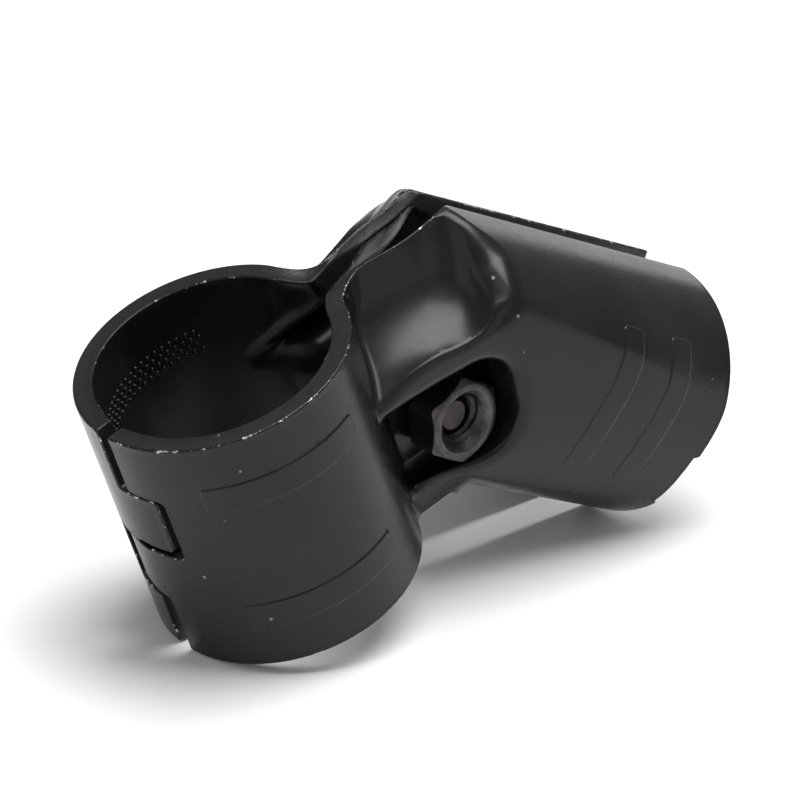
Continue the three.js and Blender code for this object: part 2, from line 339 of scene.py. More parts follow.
# upper and lower stretch of the hooked side, one for the tab and one for the notch
HOOK_WINDOWS = ((-17.4, -8.4), (-26.2, -17.4))
TAB_CLEARANCE = 0.45


def hook_line(y, z, upper_tab, sizes):
    """The sheared outline on the hooked side: one tab, one notch and plain edges."""
    own, other = HOOK_WINDOWS if upper_tab else HOOK_WINDOWS[::-1]
    middle = (own[0] + own[1]) / 2
    half = (own[1] - own[0]) / 2 - TAB_CLEARANCE
    tab = round_cut(np.abs(z - middle) - half, -sizes.tab_reach - y, 0.9)
    edge = round_join(sizes.hook_recess - y, tab, 0.5)
    middle = (other[0] + other[1]) / 2
    half = (other[1] - other[0]) / 2
    notch = round_cut(np.abs(z - middle) - half, y - sizes.notch_depth, 0.9)
    return round_cut(edge, -notch, 0.5)


def sheared_edges(x, y, z, nut_side, sizes):
    """Everything that trims the pressed form to one half."""
    outer = sizes.tube_radius + sizes.sheet
    s = along_arm(x, z, sizes)
    q = across_arm(x, z, sizes)
    arm = np.hypot(q, y) - outer - 1.5
    # the end plane sags a little at the waist
    sag = 1.3 * np.exp(-(((x - outer) / 4.0) ** 2) - (y / 4.0) ** 2)
    ends = np.maximum(z + sag, np.minimum(-sizes.collar_height - z, arm))
    ends = np.maximum(ends, s - sizes.arm_length)
    if nut_side:
        # a shallow step in the arm's end
        turn = np.degrees(np.arctan2(np.abs(y), q))
        dip = ease(104.0, 106.0, turn) * ease(137.0, 134.0, turn) * (s > 30)
        ends = np.maximum(ends, s - sizes.arm_length + 0.75 * dip)
    seam = sizes.seam_recess - y
    bevel = (neck_edge(x) - y) * 0.67 + (z + 0.3) * 0.74
    seam = round_cut(seam, np.where(x > 8, bevel, -9.0), 0.2)
    hook = hook_line(y, z, not nut_side, sizes)
    parting = np.where(x > 0, seam, hook)
    edges = round_cut(ends, parting, 0.25)
    # the bolt's hole, which is a short slot on the side that swings
    bolt = bpy.context.scene.bolt_sizes
    slot = bolt.slot_length if nut_side else 0.0
    reach = np.maximum(np.abs(x - bolt.x - slot / 2) - slot / 2, 0)
    hole = bolt.hole_radius - np.hypot(reach, z - bolt.z)
    return np.maximum(edges, np.where(y < 9, hole, -9.0))


def shell_parts(points, nut_side, sizes):
    """Outside skin, inside skin and trim distances at points given in the half's frame."""
    x, y, z = points.T
    level = np.abs(y)
    thin = ease(-5.0, -0.8, z) * ease(16.5, 19.5, x) * ease(36.5, 33.5, x)
    thick = sizes.sheet - sizes.neck_thinning * thin
    outside = pressed_form(x, level, z, 0.0, sizes)
    outside -= sizes.pad_height * pad_relief(x, level, z, sizes)
    inside = pressed_form(x, level, z, thick, sizes)
    trim = sheared_edges(x, y, z, nut_side, sizes)
    return outside, -inside, trim


def shell_field(nut_side, sizes):
    def field(points):
        outside, inside, trim = shell_parts(points, nut_side, sizes)
        return round_cut(np.maximum(outside, inside), trim, sizes.edge_round)
    return field


# ---- from a field to a mesh --------------------------------------------------

def surface_net(field, low, high, step):
    """Quads around the zero level of a field, one point in each cell that it crosses."""
    counts = [int(math.ceil((b - a) / step)) + 1 for a, b in zip(low, high)]
    axes = [a + step * np.arange(n) for a, n in zip(low, counts)]
    values = np.empty(counts)
    for i, x in enumerate(axes[0]):
        y, z = np.meshgrid(axes[1], axes[2], indexing="ij")
        points = np.column_stack([np.full(y.size, x), y.ravel(), z.ravel()])
        values[i] = field(points).reshape(y.shape)
    inside = values < 0
    cells = np.array(counts) - 1
    total = np.zeros(cells, int)
    for dx in (0, 1):
        for dy in (0, 1):
            for dz in (0, 1):
                total += inside[dx:cells[0] + dx, dy:cells[1] + dy, dz:cells[2] + dz]
    active = (total > 0) & (total < 8)
    places = np.argwhere(active)
    number = np.full(cells, -1)
    number[active] = np.arange(len(places))

    summed = np.zeros((len(places), 3))
    crossings = np.zeros(len(places))
    for axis in range(3):
        u, v = (axis + 1) % 3, (axis + 2) % 3
        for du in (0, 1):
            for dv in (0, 1):
                a = places.copy()
                a[:, u] += du
                a[:, v] += dv
                b = a.copy()
                b[:, axis] += 1
                va, vb = values[tuple(a.T)], values[tuple(b.T)]
                hit = (va < 0) != (vb < 0)
                spot = a.astype(float)
                spot[hit, axis] += va[hit] / (va[hit] - vb[hit])
                summed[hit] += spot[hit]
                crossings[hit] += 1
    points = np.array(low) + step * summed / crossings[:, None]

    quads = []
    for axis in range(3):
        u, v = (axis + 1) % 3, (axis + 2) % 3
        first = np.take(inside, range(cells[axis]), axis)
        second = np.take(inside, range(1, cells[axis] + 1), axis)
        edge = np.argwhere(first != second)
        fits = (edge[:, u] > 0) & (edge[:, v] > 0)
        fits &= (edge[:, u] < cells[u]) & (edge[:, v] < cells[v])
        edge = edge[fits]
        ring = []
        for du, dv in ((1, 1), (0, 1), (0, 0), (1, 0)):
            cell = edge.copy()
            cell[:, u] -= du
            cell[:, v] -= dv
            ring.append(number[tuple(cell.T)])
        quad = np.column_stack(ring)
        outward = first[tuple(edge.T)]
        quads.append(np.where(outward[:, None], quad, quad[:, ::-1]))
    return points, np.vstack(quads)


def slope(field, points, reach=0.02):
    out = np.empty_like(points)
    for axis in range(3):
        shift = np.zeros(3)
        shift[axis] = reach
        out[:, axis] = field(points + shift) - field(points - shift)
    return out / (2 * reach)


def settle(field, points, steps, limit):
    """Moves points onto the zero level."""
    for _ in range(steps):
        value = field(points)
        gradient = slope(field, points)
        square = np.maximum((gradient ** 2).sum(1), 0.04)
        move = -value[:, None] * gradient / square[:, None]
        length = np.linalg.norm(move, axis=1)
        move *= np.minimum(1, limit / np.maximum(length, 1e-9))[:, None]
        points = points + move
    return points


def triangles_of(points, quads):
    a = np.linalg.norm(points[quads[:, 0]] - points[quads[:, 2]], axis=1)
    b = np.linalg.norm(points[quads[:, 1]] - points[quads[:, 3]], axis=1)
    short = (a <= b)[:, None]
    one = np.where(short, quads[:, [0, 1, 2]], quads[:, [0, 1, 3]])
    two = np.where(short, quads[:, [0, 2, 3]], quads[:, [1, 2, 3]])
    return np.vstack([one, two])


def edges_of(triangles):
    pairs = np.vstack([triangles[:, [0, 1]], triangles[:, [1, 2]], triangles[:, [2, 0]]])
    pairs.sort(axis=1)
    edges, back = np.unique(pairs, axis=0, return_inverse=True)
    return edges, back.reshape(3, -1).T


def even_out(field, points, triangles, rounds, step):
    """Slides points along the skin towards the middle of their neighbours."""
    edges, _ = edges_of(triangles)
    count = np.bincount(edges.ravel(), minlength=len(points))
    for _ in range(rounds):
        middle = np.empty_like(points)
        for axis in range(3):
            a = np.bincount(edges[:, 0], points[edges[:, 1], axis], len(points))
            b = np.bincount(edges[:, 1], points[edges[:, 0], axis], len(points))
            middle[:, axis] = (a + b) / count
        move = middle - points
        normal = slope(field, points)
        normal /= np.maximum(np.linalg.norm(normal, axis=1), 1e-6)[:, None]
        move -= normal * (move * normal).sum(1)[:, None]
        points = settle(field, points + 0.5 * move, 1, 0.25 * step)
    return points


# How a triangle is split, by which of its sides are marked: 1, 2 and 4 added together.
# Corners are 0 to 2, and 3 to 5 are the new points on the sides after them.
SPLITS = {
    1: ((0, 3, 2), (3, 1, 2)),
    2: ((0, 1, 4), (0, 4, 2)),
    4: ((0, 1, 5), (5, 1, 2)),
    3: ((3, 1, 4), (0, 3, 4), (0, 4, 2)),
    6: ((4, 2, 5), (0, 1, 4), (0, 4, 5)),
    5: ((0, 3, 5), (3, 1, 2), (3, 2, 5)),
    7: ((0, 3, 5), (3, 1, 4), (5, 4, 2), (3, 4, 5)),
}


def refine(field, points, triangles, error, shortest, fine):
    """Splits the edges whose middle is off the skin or in a place that has to be fine,
    and settles the new points."""
    edges, sides = edges_of(triangles)
    a, b = points[edges[:, 0]], points[edges[:, 1]]
    middle = (a + b) / 2
    long_enough = np.linalg.norm(a - b, axis=1) > shortest
    marked = np.zeros(len(edges), bool)
    marked[long_enough] = np.abs(field(middle[long_enough])) > error
    marked |= (np.linalg.norm(a - b, axis=1) > 0.2) & fine(middle)
    new = np.full(len(edges), -1)
    new[marked] = len(points) + np.arange(marked.sum())
    fresh = settle(field, middle[marked], 2, 0.15)
    points = np.vstack([points, fresh])
    corners = np.column_stack([triangles, new[sides]])
    bits = marked[sides]
    code = bits[:, 0] * 1 + bits[:, 1] * 2 + bits[:, 2] * 4
    out = [triangles[code == 0]]
    for key, pattern in SPLITS.items():
        chosen = corners[code == key]
        for split in pattern:
            out.append(chosen[:, split])
    return points, np.vstack(out)


def shell_mesh(nut_side, sizes):
    """One half in its own frame: points, triangles and normals."""
    field = shell_field(nut_side, sizes)
    step = sizes.grid_step
    outer = sizes.tube_radius + sizes.sheet
    reach_x = arm_start(sizes) + (sizes.arm_length + outer) * HALF_ROOT
    reach_z = -(sizes.arm_length + outer) * HALF_ROOT
    low = (-outer - 1.3, -sizes.tab_reach - 1.1, reach_z - 1.2)
    high = (reach_x + 1.3, outer + 1.4, 1.5)
    points, quads = surface_net(field, low, high, step)
    points = settle(field, points, 3, 0.4 * step)
    triangles = triangles_of(points, quads)
    points = even_out(field, points, triangles, 3, step)
    points = settle(field, points, 2, 0.3 * step)
    for shortest in (0.5 * step, 0.3 * step, 0.2 * step):
        points, triangles = refine(
            field, points, triangles, sizes.chord_error, shortest,
            lambda spots: near_pad_outline(spots, sizes),
        )
    normals = slope(field, points, 0.03)
    normals /= np.maximum(np.linalg.norm(normals, axis=1), 1e-6)[:, None]
    return points, triangles, normals


# ---- mesh objects ------------------------------------------------------------

def new_object(name, mesh):
    piece = bpy.data.objects.new(name, mesh)
    bpy.context.scene.collection.objects.link(piece)
    return piece


def mesh_object(name, points, faces, normals=None, marks=None):
    mesh = bpy.data.meshes.new(name)
    mesh.from_pydata(points.tolist(), [], [list(map(int, f)) for f in faces])
    mesh.update()
    mesh.shade_smooth()
    for key, values in (marks or {}).items():
        layer = mesh.attributes.new(key, "FLOAT", "POINT")
        layer.data.foreach_set("value", np.asarray(values, np.float32))
    if normals is not None:
        mesh.normals_split_custom_set_from_vertices(normals.tolist())
    return new_object(name, mesh)


def shade_by_angle(piece, degrees):
    mesh = piece.data
    mesh.shade_smooth()
    mesh.set_sharp_from_angle(angle=math.radians(degrees))


def hand_over(piece, body, node, material):
    piece.data.materials.clear()
    piece.data.materials.append(material)
    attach(piece, body)
    if node:
        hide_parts(node)


def wear_and_glint_marks(points, nut_side, sizes):
    """How near each point is to the sheared edges, for the materials."""
    outside, inside, trim = shell_parts(points, nut_side, sizes)
    skin = np.maximum(outside, inside)
    fall = 0.42 ** 2
    return {
        "sheared": ease(-0.12, -0.4, skin),
        # the rim marks drive the coat's worn dashes and its painted glints
        "outer_rim": np.exp(-(outside ** 2 + trim ** 2) / fall),
        "inner_rim": np.exp(-(inside ** 2 + trim ** 2) / fall),
        "inside_skin": ease(-1.6, -0.6, inside),
    }


def make_shell(name, nut_side, body, node):
    """One half: made for the head's side, and mirrored and swung open for the nut's."""
    scene = bpy.context.scene
    sizes = scene.joint_sizes
    points, triangles, normals = shell_mesh(nut_side, sizes)
    marks = wear_and_glint_marks(points, nut_side, sizes)
    if nut_side:
        points = points * (1, -1, 1)
        normals = normals * (1, -1, 1)
        triangles = triangles[:, ::-1]
        outer = sizes.tube_radius + sizes.sheet
        points = swing_open(points, sizes, 1)
        normals = swing_open(normals - (outer, 0, 0), sizes, 1) + (outer, 0, 0)
    axes = joint_frame(sizes)[0]
    piece = mesh_object(name, to_world(points, sizes), triangles, normals @ axes.T, marks)
    hand_over(piece, body, node, coat_material())
    return piece


# ---- shader helpers ----------------------------------------------------------

class Shader:
    """A material's node tree with short calls for the nodes that are used here."""

    def __init__(self, name):
        self.material = bpy.data.materials.new(name)
        self.material.use_nodes = True
        self.tree = self.material.node_tree
        self.tree.nodes.clear()
        self.output = self.tree.nodes.new("ShaderNodeOutputMaterial")
        self.surface = self.tree.nodes.new("ShaderNodeBsdfPrincipled")
        self.link(self.surface.outputs[0], self.output.inputs["Surface"])
        self.place = self.tree.nodes.new("ShaderNodeTexCoord").outputs["Object"]

    def link(self, a, b):
        self.tree.links.new(a, b)

    def feed(self, socket, value):
        if isinstance(value, bpy.types.NodeSocket):
            self.link(value, socket)
        else:
            socket.default_value = value

    def noise(self, scale, detail=3.0, rough=0.5, stretch=None, offset=None):
        node = self.tree.nodes.new("ShaderNodeTexNoise")
        node.inputs["Scale"].default_value = scale
        node.inputs["Detail"].default_value = detail
        node.inputs["Roughness"].default_value = rough
        self.link(self.moved(stretch, offset), node.inputs["Vector"])
        return node.outputs["Fac"]

    def moved(self, stretch=None, offset=None):
        if stretch is None and offset is None:
            return self.place
        node = self.tree.nodes.new("ShaderNodeMapping")
        self.link(self.place, node.inputs["Vector"])
        node.inputs["Scale"].default_value = stretch or (1, 1, 1)
        node.inputs["Location"].default_value = offset or (0, 0, 0)
        return node.outputs[0]

    def cells(self, scale):
        node = self.tree.nodes.new("ShaderNodeTexVoronoi")
        node.inputs["Scale"].default_value = scale
        self.link(self.place, node.inputs["Vector"])
        return node.outputs["Distance"]

    def band(self, value, low, high, out_low=0.0, out_high=1.0):
        node = self.tree.nodes.new("ShaderNodeMapRange")
        node.interpolation_type = "SMOOTHSTEP"
        self.feed(node.inputs["Value"], value)
        node.inputs["From Min"].default_value = low
        node.inputs["From Max"].default_value = high
        node.inputs["To Min"].default_value = out_low
        node.inputs["To Max"].default_value = out_high
        return node.outputs[0]

    def math(self, kind, a, b=0.0):
        node = self.tree.nodes.new("ShaderNodeMath")
        node.operation = kind
        self.feed(node.inputs[0], a)
        self.feed(node.inputs[1], b)
        return node.outputs[0]

    def blend(self, fac, a, b):
        node = self.tree.nodes.new("ShaderNodeMix")
        node.data_type = "RGBA"
        self.feed(node.inputs["Factor"], fac)
        self.feed(node.inputs[6], a)
        self.feed(node.inputs[7], b)
        return node.outputs[2]

    def mark(self, name):
        node = self.tree.nodes.new("ShaderNodeAttribute")
        node.attribute_name = name
        return node.outputs["Fac"]

    def bump(self, height, strength, distance, before=None):
        node = self.tree.nodes.new("ShaderNodeBump")
        node.inputs["Strength"].default_value = strength
        node.inputs["Distance"].default_value = distance
        self.link(height, node.inputs["Height"])
        if before is not None:
            self.link(before, node.inputs["Normal"])
        return node.outputs[0]

    def set(self, name, value):
        self.feed(self.surface.inputs[name], value)


def rgba(colour):
    return (colour[0], colour[1], colour[2], 1.0)


def coat_material():
    """Semi-gloss black electrocoat over steel, worn through here and there at the sheared
    edges and painted there with glints, with a fine orange-peel skin, dust specks and a few
    short scratches."""
    found = bpy.data.materials.get("black_coat")
    if found:
        return found
    colours = bpy.context.scene.finish_colours
    shader = Shader("black_coat")
    cloud = shader.noise(60.0, 4.0, 0.6)
    fine = shader.noise(900.0, 3.0, 0.6)
    peel = shader.noise(420.0, 2.0, 0.45)
    coarse = shader.noise(2600.0, 2.0, 0.6)
    rim_noise = shader.noise(780.0, 4.0, 0.7, offset=(3.1, 1.7, 0.4))
    sheared = shader.mark("sheared")
    outer_rim = shader.mark("outer_rim")
    inner_rim = shader.mark("inner_rim")
    inside = shader.mark("inside_skin")

    # bare metal in broken dashes along the sheared corners: partly worn-through coat, partly
    # painted glints where light catches the rounded edges
    rims = shader.math("MAXIMUM", outer_rim, shader.math("MULTIPLY", inner_rim, 0.9))
    gate = shader.math("ADD", shader.math("MULTIPLY", rims, 0.55), rim_noise)
    wear_and_glint = shader.band(gate, 1.03, 1.14)

    # dust: small pale specks in some cells only
    dust_near = shader.band(shader.cells(520.0), 0.16, 0.06)
    dust_pick = shader.band(shader.noise(240.0, 1.0, 0.5, offset=(7.0, 2.0, 5.0)), 0.68, 0.72)
    dust = shader.math("MULTIPLY", dust_near, dust_pick)

    # scratches: thin stretched lines, kept to a few patches
    line = shader.noise(300.0, 1.0, 0.4, stretch=(0.08, 1.4, 1.7), offset=(0.3, 0.9, 2.2))
    thin = shader.band(shader.math("ABSOLUTE", shader.math("SUBTRACT", line, 0.5)), 0.004, 0.0)
    patch = shader.band(shader.noise(75.0, 1.0, 0.5, offset=(1.0, 8.0, 3.0)), 0.66, 0.74)
    scratch = shader.math("MULTIPLY", thin, patch)

    dark = rgba(colours.coat)
    lighter = tuple(min(1.0, c * 2.1) for c in dark[:3]) + (1.0,)
    edge_grey = tuple(min(1.0, c * 2.6) for c in dark[:3]) + (1.0,)
    base = shader.blend(shader.band(cloud, 0.3, 0.75), dark, lighter)
    streak = shader.noise(500.0, 3.0, 0.6, stretch=(1.0, 1.0, 3.5))
    cut_mix = shader.math("MULTIPLY", sheared, shader.band(streak, 0.3, 0.7, 0.45, 1.0))
    base = shader.blend(cut_mix, base, edge_grey)
    base = shader.blend(shader.math("MULTIPLY", scratch, 0.25), base, (0.11, 0.11, 0.11, 1))
    base = shader.blend(shader.math("MULTIPLY", dust, 0.6), base, (0.32, 0.32, 0.31, 1))
    # painted glints and wear: the dashes get bare steel colour, metallic and a little more
    # roughness
    base = shader.blend(wear_and_glint, base, rgba(colours.bare_steel_and_glint))
    shader.set("Base Color", base)
    shader.set("Metallic", shader.math("MULTIPLY", wear_and_glint, 0.9))

    rough = shader.band(cloud, 0.25, 0.8, 0.20, 0.31)
    rough = shader.math("ADD", rough, shader.band(fine, 0.45, 0.8, 0.0, 0.05))
    rough = shader.math("ADD", rough, shader.math("MULTIPLY", sheared, 0.12))
    rough = shader.math("ADD", rough, shader.math("MULTIPLY", inside, 0.03))
    rough = shader.math("ADD", rough, shader.math("MULTIPLY", dust, 0.3))
    rough = shader.math("ADD", rough, shader.math("MULTIPLY", wear_and_glint, 0.06))
    shader.set("Roughness", rough)
    shader.set("IOR", 1.5)
    # the inside skin gets a lower specular level: painted shade that darkens the inside of the
    # shell
    shader.set("Specular IOR Level", shader.band(inside, 0.0, 1.0, 0.27, 0.2))

    shear_marks = shader.noise(1500.0, 2.0, 0.7, stretch=(1.0, 1.0, 0.3))
    ripple = shader.math("MULTIPLY", shear_marks, sheared)
    edge_pits = shader.math("MULTIPLY", rim_noise, rims)
    skin = shader.bump(peel, 0.16, 0.00003)
    skin = shader.bump(coarse, 0.10, 0.00001, skin)
    skin = shader.bump(ripple, 0.6, 0.00006, skin)
    skin = shader.bump(edge_pits, 0.8, 0.0002, skin)
    relief = shader.math("SUBTRACT", dust, shader.math("MULTIPLY", scratch, 0.3))
    skin = shader.bump(relief, 0.5, 0.00003, skin)
    shader.set("Normal", skin)
    return shader.material


def oxide_material():
    """Black oxide on the rolled bolt: faint brown cast, oily sheen, rubbed crests."""
    found = bpy.data.materials.get("black_oxide")
    if found:
        return found
    colours = bpy.context.scene.finish_colours
    shader = Shader("black_oxide")
    cloud = shader.noise(500.0, 4.0, 0.6)
    grain = shader.noise(4200.0, 3.0, 0.65)
    rub_and_glint = shader.mark("crest")
    dark = rgba(colours.oxide)
    brown = (dark[0] * 1.8, dark[1] * 1.45, dark[2] * 1.2, 1.0)
    base = shader.blend(shader.band(cloud, 0.35, 0.7), dark, brown)
    wear_and_glint = shader.math("MULTIPLY", rub_and_glint, shader.band(grain, 0.42, 0.62))
    base = shader.blend(shader.math("MULTIPLY", wear_and_glint, 0.7), base, rgba(colours.bare_steel_and_glint))
    shader.set("Base Color", base)
    shader.set("Metallic", shader.band(cloud, 0.2, 0.8, 0.75, 0.95))
    rough = shader.band(grain, 0.3, 0.75, 0.30, 0.48)
    shader.set("Roughness", shader.math("SUBTRACT", rough, shader.math("MULTIPLY", wear_and_glint, 0.1)))
    shader.set("Normal", shader.bump(grain, 0.35, 0.00002))
    return shader.material


def zinc_material():
    """Dull zinc plate on the nut: cloudy grey, faint crystals, and edges painted paler as
    highlights.
    """
    found = bpy.data.materials.get("dull_zinc")
    if found:
        return found
    colours = bpy.context.scene.finish_colours
    shader = Shader("dull_zinc")
    cloud = shader.noise(380.0, 5.0, 0.65)
    crystals = shader.cells(1500.0)
    grain = shader.noise(5200.0, 3.0, 0.7)
    rub_and_glint = shader.mark("crest")
    mid = rgba(colours.zinc)
    dark = tuple(c * 0.45 for c in mid[:3]) + (1.0,)
    pale = tuple(c * 2.6 for c in mid[:3]) + (1.0,)
    base = shader.blend(shader.band(cloud, 0.3, 0.7), dark, mid)
    base = shader.blend(shader.band(crystals, 0.2, 0.9, 0.0, 0.18), base, pale)
    # paler, smoother edges and thread crests: painted highlights
    wear_and_glint = shader.math("MULTIPLY", rub_and_glint, shader.band(cloud, 0.35, 0.6, 0.35, 1.0))
    base = shader.blend(shader.math("MULTIPLY", wear_and_glint, 0.7), base, pale)
    shader.set("Base Color", base)
    shader.set("Metallic", shader.band(cloud, 0.2, 0.8, 0.8, 0.95))
    rough = shader.band(grain, 0.25, 0.8, 0.34, 0.52)
    shader.set("Roughness", shader.math("SUBTRACT", rough, shader.math("MULTIPLY", wear_and_glint, 0.08)))
    shader.set("Normal", shader.bump(grain, 0.4, 0.00003, shader.bump(cloud, 0.3, 0.00005)))
    return shader.material


# ---- geometry node trees -----------------------------------------------------

class Tree:
    """A geometry node tree with named inputs."""

    def __init__(self, name, inputs):
        self.group = bpy.data.node_groups.new(name, "GeometryNodeTree")
        face = self.group.interface
        face.new_socket("Geometry", in_out="OUTPUT", socket_type="NodeSocketGeometry")
        self.ids = {}
        for key, kind, value in inputs:
            socket = face.new_socket(key, in_out="INPUT", socket_type="NodeSocket" + kind)
            if value is not None:
                socket.default_value = value
            self.ids[key] = socket.identifier
        self.start = self.group.nodes.new("NodeGroupInput")
        self.end = self.group.nodes.new("NodeGroupOutput")

    def get(self, key):
        return self.start.outputs[key]

    def node(self, kind, **settings):
        node = self.group.nodes.new(kind)
        for key, value in settings.items():
            setattr(node, key, value)
        return node

    def feed(self, socket, value):
        if isinstance(value, bpy.types.NodeSocket):
            self.group.links.new(value, socket)
        else:
            socket.default_value = value

    def math(self, kind, a, b=0.0):
        node = self.node("ShaderNodeMath", operation=kind)
        self.feed(node.inputs[0], a)
        self.feed(node.inputs[1], b)
        return node.outputs[0]

    def vector(self, x, y, z):
        node = self.node("ShaderNodeCombineXYZ")
        for socket, value in zip(node.inputs, (x, y, z)):
            self.feed(socket, value)
        return node.outputs[0]

    def finish(self, geometry):
        real = self.node("GeometryNodeRealizeInstances")
        paint = self.node("GeometryNodeSetMaterial")
        self.feed(real.inputs[0], geometry)
        self.feed(paint.inputs["Geometry"], real.outputs[0])
        self.feed(paint.inputs["Material"], self.get("Material"))
        self.feed(self.end.inputs[0], paint.outputs[0])


def dots_tree():
    """Rows of small domes around a cylinder along Z, pointing inwards."""
    tree = Tree("grip dots", [
        ("Rows", "Int", 4), ("Columns", "Int", 17), ("Radius", "Float", 14.0),
        ("First Angle", "Float", 1.0), ("Angle Step", "Float", 0.07),
        ("First Height", "Float", 0.0), ("Height Step", "Float", 1.0),
        ("Dot Radius", "Float", 0.4), ("Dot Height", "Float", 0.25),
        ("Seed", "Int", 3), ("Material", "Material", None),
    ])
    count = tree.math("MULTIPLY", tree.get("Rows"), tree.get("Columns"))
    points = tree.node("GeometryNodePoints")
    tree.feed(points.inputs["Count"], count)
    index = tree.node("GeometryNodeInputIndex").outputs[0]
    row = tree.math("FLOOR", tree.math("DIVIDE", index, tree.get("Columns")))
    column = tree.math("SUBTRACT", index, tree.math("MULTIPLY", row, tree.get("Columns")))
    stagger = tree.math("MULTIPLY", tree.math("MODULO", row, 2.0), 0.5)
    jitter = tree.node("FunctionNodeRandomValue", data_type="FLOAT")
    tree.feed(jitter.inputs[2], -0.06)
    tree.feed(jitter.inputs[3], 0.06)
    tree.feed(jitter.inputs["Seed"], tree.get("Seed"))
    place = tree.math("ADD", tree.math("ADD", column, stagger), jitter.outputs[1])
    turn = tree.math("MULTIPLY", place, tree.get("Angle Step"))
    angle = tree.math("ADD", tree.get("First Angle"), turn)
    climb = tree.math("MULTIPLY", row, tree.get("Height Step"))
    height = tree.math("ADD", tree.get("First Height"), climb)
    cosine, sine = tree.math("COSINE", angle), tree.math("SINE", angle)
    x = tree.math("MULTIPLY", cosine, tree.get("Radius"))
    y = tree.math("MULTIPLY", sine, tree.get("Radius"))
    move = tree.node("GeometryNodeSetPosition")
    tree.feed(move.inputs["Geometry"], points.outputs[0])
    tree.feed(move.inputs["Position"], tree.vector(x, y, height))
    dome = tree.node("GeometryNodeMeshUVSphere")
    dome.inputs["Segments"].default_value = 10
    dome.inputs["Rings"].default_value = 6
    tree.feed(dome.inputs["Radius"], tree.get("Dot Radius"))
    aim = tree.node("FunctionNodeAlignRotationToVector", axis="Z")
    tree.feed(aim.inputs["Vector"], tree.vector(cosine, sine, 0.0))
    put = tree.node("GeometryNodeInstanceOnPoints")
    tree.feed(put.inputs["Points"], move.outputs[0])
    tree.feed(put.inputs["Instance"], dome.outputs[0])
    tree.feed(put.inputs["Rotation"], aim.outputs[0])
    flat = tree.math("DIVIDE", tree.get("Dot Height"), tree.get("Dot Radius"))
    tree.feed(put.inputs["Scale"], tree.vector(1.0, 1.0, flat))
    tree.finish(put.outputs[0])
    return tree


def thread_tree():
    """A helical ridge around Z, sunk below its root at both ends."""
    tree = Tree("thread", [
        ("Turns", "Float", 16.0), ("Steps", "Int", 700), ("Pitch", "Float", 1.0),
        ("Start", "Float", 0.0), ("Root", "Float", 2.4), ("Crest", "Float", 2.93),
        ("Flat", "Float", 0.12), ("Runout", "Float", 0.6), ("Material", "Material", None),
    ])
    grid = tree.node("GeometryNodeMeshGrid")
    grid.inputs["Size X"].default_value = 1.0
    grid.inputs["Size Y"].default_value = 1.0
    tree.feed(grid.inputs["Vertices X"], tree.get("Steps"))
    grid.inputs["Vertices Y"].default_value = 9
    spot = tree.node("ShaderNodeSeparateXYZ")
    tree.feed(spot.inputs[0], tree.node("GeometryNodeInputPosition").outputs[0])
    along = tree.math("ADD", spot.outputs[0], 0.5)
    across = tree.math("ADD", spot.outputs[1], 0.5)
    turns = tree.math("MULTIPLY", along, tree.get("Turns"))
    angle = tree.math("MULTIPLY", turns, 2 * math.pi)
    lift = tree.math("MULTIPLY", tree.math("ADD", turns, across), tree.get("Pitch"))
    height = tree.math("ADD", tree.get("Start"), lift)
    # trapezoid profile across one pitch: 0 at both sides, 1 on the crest
    rise = tree.math("ABSOLUTE", tree.math("SUBTRACT", across, 0.5))
    rise = tree.math("SUBTRACT", 0.5, rise)
    room = tree.math("SUBTRACT", 0.5, tree.get("Flat"))
    rise = tree.math("MINIMUM", tree.math("DIVIDE", rise, room), 1.0)
    near_start = tree.math("DIVIDE", turns, tree.get("Runout"))
    left = tree.math("SUBTRACT", tree.get("Turns"), turns)
    near_end = tree.math("DIVIDE", left, tree.get("Runout"))
    fade = tree.math("MINIMUM", tree.math("MINIMUM", near_start, near_end), 1.0)
    depth = tree.math("SUBTRACT", tree.get("Crest"), tree.get("Root"))
    out = tree.math("MULTIPLY", tree.math("MULTIPLY", rise, fade), depth)
    sunk = tree.math("MULTIPLY", tree.math("SUBTRACT", 1.0, fade), 0.12)
    sunk = tree.math("MULTIPLY", sunk, tree.math("SIGN", depth))
    radius = tree.math("SUBTRACT", tree.math("ADD", tree.get("Root"), out), sunk)
    x = tree.math("MULTIPLY", tree.math("COSINE", angle), radius)
    y = tree.math("MULTIPLY", tree.math("SINE", angle), radius)
    move = tree.node("GeometryNodeSetPosition")
    tree.feed(move.inputs["Geometry"], grid.outputs[0])
    tree.feed(move.inputs["Position"], tree.vector(x, y, height))
    weld = tree.node("GeometryNodeMergeByDistance")
    tree.feed(weld.inputs["Geometry"], move.outputs[0])
    weld.inputs["Distance"].default_value = 0.0005
    tree.finish(weld.outputs[0])
    return tree


def grown(tree, values, material):
    """Evaluates a tree once and returns its plain mesh."""
    mesh = bpy.data.meshes.new("seed")
    seed = new_object("seed", mesh)
    modifier = seed.modifiers.new("grow", "NODES")
    modifier.node_group = tree.group
    for key, value in values.items():
        modifier[tree.ids[key]] = value
    modifier[tree.ids["Material"]] = material
    seed.update_tag()
    bpy.context.view_layer.update()
    evaluated = seed.evaluated_get(bpy.context.evaluated_depsgraph_get())
    result = bpy.data.meshes.new_from_object(evaluated)
    bpy.data.objects.remove(seed)
    bpy.data.meshes.remove(mesh)
    return result


def mapped(mesh, place):
    """Moves a mesh's points with a function of their coordinates."""
    count = len(mesh.vertices)
    flat = np.empty(count * 3, np.float32)
    mesh.vertices.foreach_get("co", flat)
    moved = place(flat.reshape(-1, 3).astype(float))
    mesh.vertices.foreach_set("co", moved.astype(np.float32).ravel())
    mesh.update()
    return mesh


def points_of(mesh):
    flat = np.empty(len(mesh.vertices) * 3, np.float32)
    mesh.vertices.foreach_get("co", flat)
    return flat.reshape(-1, 3).astype(float)


def flip_faces(mesh):
    mesh.flip_normals()
    mesh.update()


